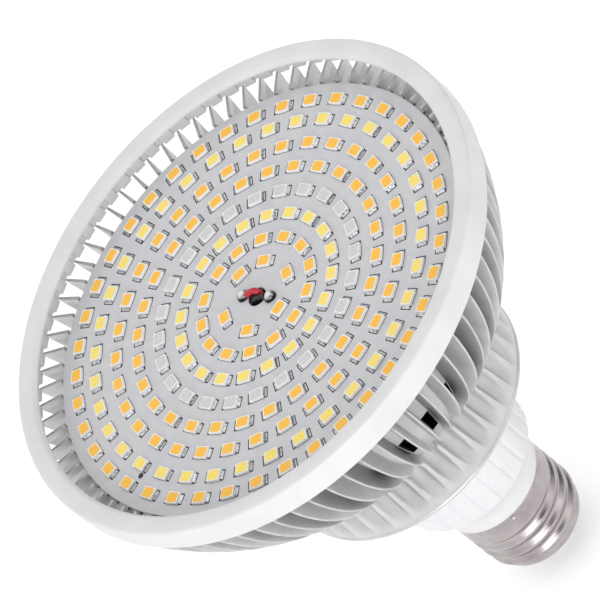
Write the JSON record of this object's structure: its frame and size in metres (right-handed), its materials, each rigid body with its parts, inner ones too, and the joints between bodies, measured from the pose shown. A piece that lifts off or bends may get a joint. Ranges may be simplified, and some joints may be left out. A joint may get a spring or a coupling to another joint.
{
  "type": "grow light bulb",
  "caption": "Flat-fronted reflector lamp: a round board of small diodes, a bowl of thin cast fins, a fluted drum, a padded plastic neck and a standard screw cap.",
  "frame": {"origin": "centre of the bounding box's bottom, at the tip of the cap's centre contact", "axes": "+Z along the lamp's axis from the cap towards the diodes; +X and +Y across it, with a vent window of the casting on +X"},
  "size_m": [0.122, 0.122, 0.1209],
  "materials": {
    "ring_plastic": "satin white moulding",
    "cast_aluminium": "cast aluminium with a fine light grey coat",
    "board_metal": "aluminium board with a white-grey mask",
    "pad_silicone": "soft matt silicone",
    "diode_plastic": "white moulded bodies",
    "solder": "bright tin solder",
    "orange_resin": "orange phosphor resin",
    "yellow_resin": "yellow phosphor resin",
    "clear_resin": "clear resin over a small chip",
    "red_insulation": "red wire insulation",
    "black_insulation": "black wire insulation",
    "neck_plastic": "satin white moulding",
    "screw_steel": "zinc-plated steel",
    "board_laminate": "tan laminate",
    "capacitor_sleeve": "dark shrink sleeve",
    "ferrite": "dark grey ferrite",
    "coil_tape": "yellow polyester tape",
    "film_box": "moulded box",
    "choke_sleeve": "shrink sleeve over a drum core",
    "black_moulding": "moulded epoxy",
    "resistor_coat": "fireproof lacquer",
    "brown_insulation": "brown wire insulation",
    "grey_insulation": "grey wire insulation",
    "nickel_plate": "nickel-plated rolled brass",
    "insulator_glass": "black glass-like insulator",
    "contact_metal": "tinned brass"
  },
  "bodies": {
    "root": {"bezel_ring": "ring_plastic", "heat_sink": "cast_aluminium", "led_board": "board_metal", "thermal_pad": "pad_silicone", "led_bodies": "diode_plastic", "led_solder": "solder", "orange_windows": "orange_resin", "yellow_windows": "yellow_resin", "clear_windows": "clear_resin", "solder_joints": "solder", "red_lead": "red_insulation", "black_lead": "black_insulation", "neck_housing": "neck_plastic", "neck_screws": "screw_steel", "driver_board": "board_laminate", "input_capacitor": "capacitor_sleeve", "output_capacitor": "capacitor_sleeve", "transformer_core": "ferrite", "transformer_coil": "coil_tape", "film_capacitor": "film_box", "choke": "choke_sleeve", "rectifier": "black_moulding", "fuse_resistor": "resistor_coat", "live_lead": "brown_insulation", "neutral_lead": "grey_insulation", "screw_shell": "nickel_plate", "cap_insulator": "insulator_glass", "centre_contact": "contact_metal"}
  },
  "joints": []
}
